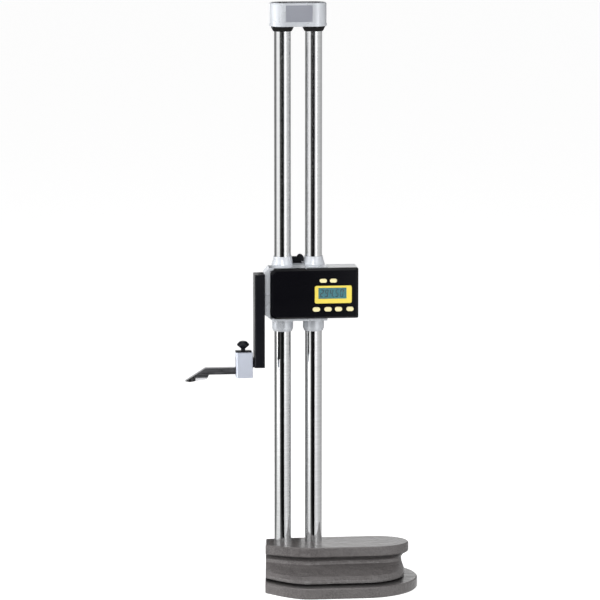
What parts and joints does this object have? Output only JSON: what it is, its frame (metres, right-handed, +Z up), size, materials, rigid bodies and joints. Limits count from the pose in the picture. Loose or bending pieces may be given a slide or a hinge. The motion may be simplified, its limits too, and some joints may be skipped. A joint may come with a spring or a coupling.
{
  "type": "digital height gauge",
  "caption": "Digital height gauge with twin chromed columns on a weighted base, a rack driven slider with a display panel, and a clamped scriber.",
  "frame": {"origin": "on the base's ground underside, midway between the two column axes", "axes": "+Z up along the columns, +X to the right seen from the front, -Y towards the user who reads the display"},
  "size_m": [0.3231, 0.151, 0.8125],
  "materials": {
    "base_paint": "dark grey hammertone stoved enamel",
    "column_chrome": "hard chrome, fine ground",
    "rack_steel": "ground gear steel",
    "screw_steel": "zinc plated steel",
    "black_screw": "black oxide steel",
    "satin_silver": "satin silver paint",
    "blank_grey": "grey blank plate",
    "stop_rubber": "black rubber",
    "bronze": "sintered bronze",
    "panel_black": "gloss black moulding",
    "housing_grey": "light grey paint",
    "frame_gold": "gold yellow moulding",
    "window_clear": "clear window",
    "lcd_teal": "reflective display",
    "board_green": "circuit board",
    "mat_grey": "key mat",
    "key_cream": "pale yellow key",
    "inner_black": "black plastic",
    "cell_steel": "button cell",
    "disc_white": "graduated disc",
    "wheel_black": "black knurled wheel",
    "arm_black": "black oxide steel bar",
    "clamp_satin": "satin plated steel",
    "scriber_steel": "dark hardened steel",
    "carbide": "ground carbide"
  },
  "bodies": {
    "stand": {"base_casting": "base_paint", "column_left": "column_chrome", "column_right": "column_chrome", "rack": "rack_steel", "rack_screws": "screw_steel", "column_bolts": "black_screw", "column_washers": "screw_steel", "top_cap": "satin_silver", "cap_plate": "blank_grey", "cap_screws": "screw_steel", "bump_stops": "stop_rubber"},
    "encoder": {"encoder_pinion": "rack_steel", "encoder_disc": "disc_white"},
    "feed": {"feed_pinion": "rack_steel", "feed_handwheel": "wheel_black", "wheel_screw": "screw_steel"},
    "clamp": {"clamp_lever": "arm_black", "clamp_screw": "screw_steel"},
    "thumb": {"thumb_screw": "arm_black"},
    "scriber": {"scriber": "scriber_steel", "scriber_tip": "carbide"},
    "key_top_left": {"key_top_left": "key_cream"},
    "key_top_right": {"key_top_right": "key_cream"},
    "key_low_1": {"key_low_1": "key_cream"},
    "key_low_2": {"key_low_2": "key_cream"},
    "key_low_3": {"key_low_3": "key_cream"},
    "key_low_4": {"key_low_4": "key_cream"},
    "slider": {"slider_casting": "satin_silver", "guide_bushes": "bronze", "wiper_rings": "stop_rubber", "front_panel": "panel_black", "display_housing": "housing_grey", "housing_screws": "screw_steel", "lcd_frame": "frame_gold", "lcd_window": "window_clear", "lcd_module": "lcd_teal", "circuit_board": "board_green", "board_screws": "screw_steel", "key_mat": "mat_grey", "battery_holder": "inner_black", "battery": "cell_steel", "battery_cover": "inner_black", "port_socket": "inner_black", "port_cover": "inner_black", "encoder_bush": "bronze", "encoder_sensor": "inner_black", "feed_bush": "bronze", "clamp_shoe": "bronze", "clamp_bush": "bronze", "scriber_arm": "arm_black", "arm_screws": "screw_steel", "scriber_clamp": "clamp_satin", "pressure_plate": "arm_black"}
  },
  "joints": [
    {"name": "slider_slide", "type": "slide", "parent": "stand", "child": "slider", "axis": [0, 0, 1], "range_m": [-0.294, 0.306]},
    {"name": "feed_turn", "type": "hinge", "parent": "slider", "child": "feed", "pos_m": [-0.00325, 0, 0.399], "axis": [0, 1, 0], "range_deg": [-2193, 2107]},
    {"name": "encoder_turn", "type": "hinge", "parent": "slider", "child": "encoder", "pos_m": [-0.00325, 0, 0.42099], "axis": [0, 1, 0], "range_deg": [-2193, 2107]},
    {"name": "clamp_turn", "type": "hinge", "parent": "slider", "child": "clamp", "pos_m": [0.0015, 0.03, 0.439], "axis": [0, 1, 0], "range_deg": [0, 50]},
    {"name": "thumb_turn", "type": "hinge", "parent": "slider", "child": "thumb", "pos_m": [-0.0794, -0.032, 0.344], "axis": [0, 0, 1], "range_deg": [0, 360]},
    {"name": "scriber_slide", "type": "slide", "parent": "slider", "child": "scriber", "axis": [1, 0, 0], "range_m": [-0.012, 0.012]},
    {"name": "key_top_left_press", "type": "slide", "parent": "slider", "child": "key_top_left", "axis": [0, 1, 0], "range_m": [0, 0.0007], "stiffness_N_per_m": 500},
    {"name": "key_top_right_press", "type": "slide", "parent": "slider", "child": "key_top_right", "axis": [0, 1, 0], "range_m": [0, 0.0007], "stiffness_N_per_m": 500},
    {"name": "key_low_1_press", "type": "slide", "parent": "slider", "child": "key_low_1", "axis": [0, 1, 0], "range_m": [0, 0.0007], "stiffness_N_per_m": 500},
    {"name": "key_low_2_press", "type": "slide", "parent": "slider", "child": "key_low_2", "axis": [0, 1, 0], "range_m": [0, 0.0007], "stiffness_N_per_m": 500},
    {"name": "key_low_3_press", "type": "slide", "parent": "slider", "child": "key_low_3", "axis": [0, 1, 0], "range_m": [0, 0.0007], "stiffness_N_per_m": 500},
    {"name": "key_low_4_press", "type": "slide", "parent": "slider", "child": "key_low_4", "axis": [0, 1, 0], "range_m": [0, 0.0007], "stiffness_N_per_m": 500}
  ],
  "couplings": [
    {"joint": "feed_turn", "follows": "slider_slide", "rad_per_m": -125},
    {"joint": "encoder_turn", "follows": "slider_slide", "rad_per_m": -125}
  ]
}
